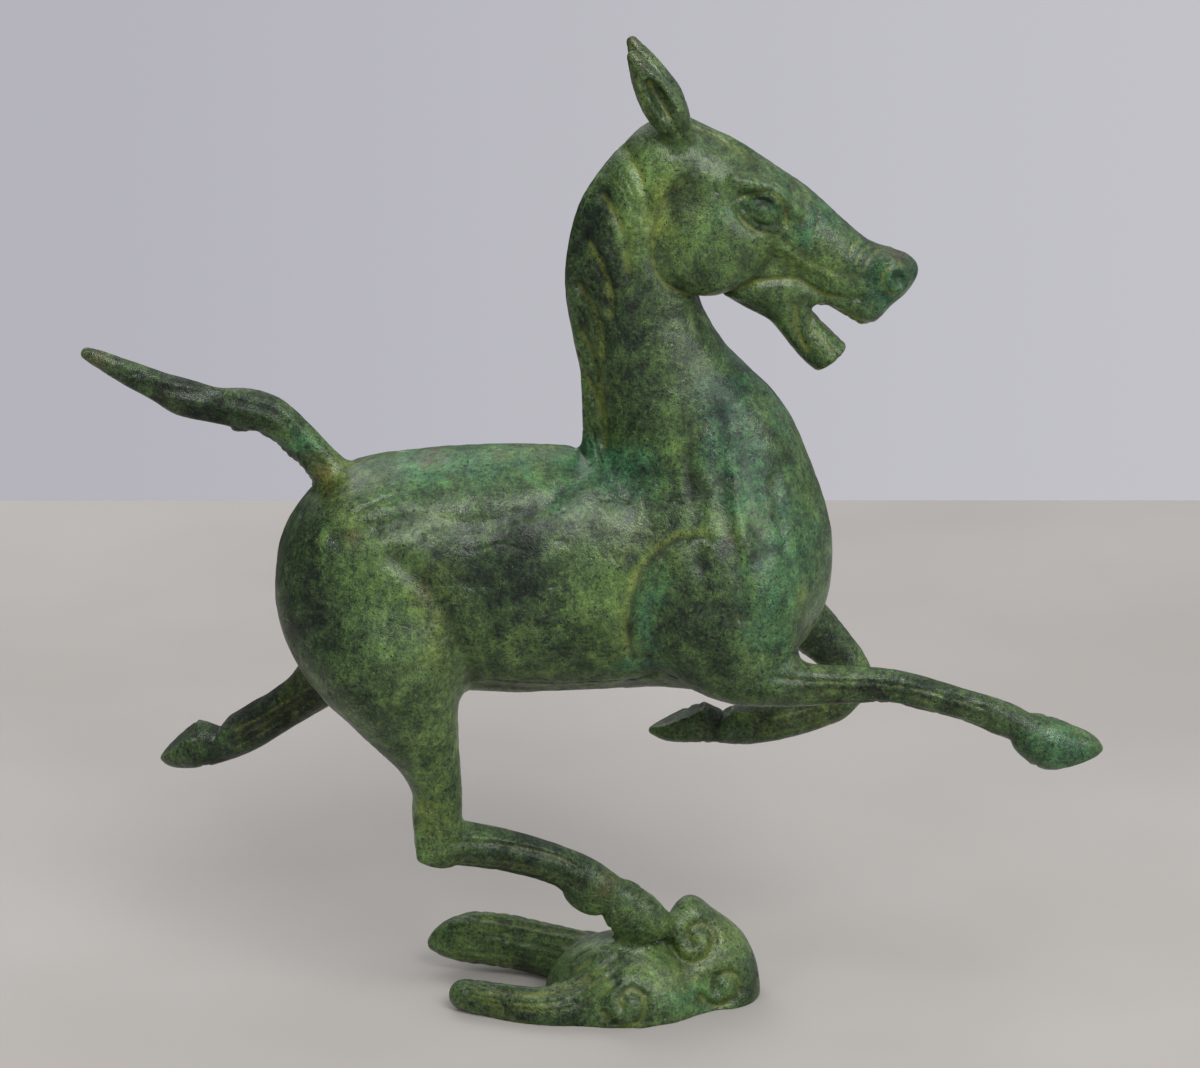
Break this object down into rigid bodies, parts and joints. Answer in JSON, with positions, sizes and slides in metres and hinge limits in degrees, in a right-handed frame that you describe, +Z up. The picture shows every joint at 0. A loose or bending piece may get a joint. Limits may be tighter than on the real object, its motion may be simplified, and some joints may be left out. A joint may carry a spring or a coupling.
{
  "type": "bronze horse sculpture",
  "caption": "Cast bronze galloping horse in an antique style, carried by its planted hind hoof on a small cloud-shaped plinth.",
  "frame": {"origin": "on the flat underside of the plinth, below the middle of its cloud, level with what the sculpture stands on", "axes": "+X the way the horse gallops, +Y the horse's left, +Z up"},
  "size_m": [0.2471, 0.0608, 0.2453],
  "materials": {
    "patinated_bronze": "waxed green patina on cast bronze, mottled from olive and verdigris to blue-black, with ochre in the incised lines and bare reddish metal on the worn edges"
  },
  "bodies": {
    "root": {"galloping_horse": "patinated_bronze"}
  },
  "joints": []
}
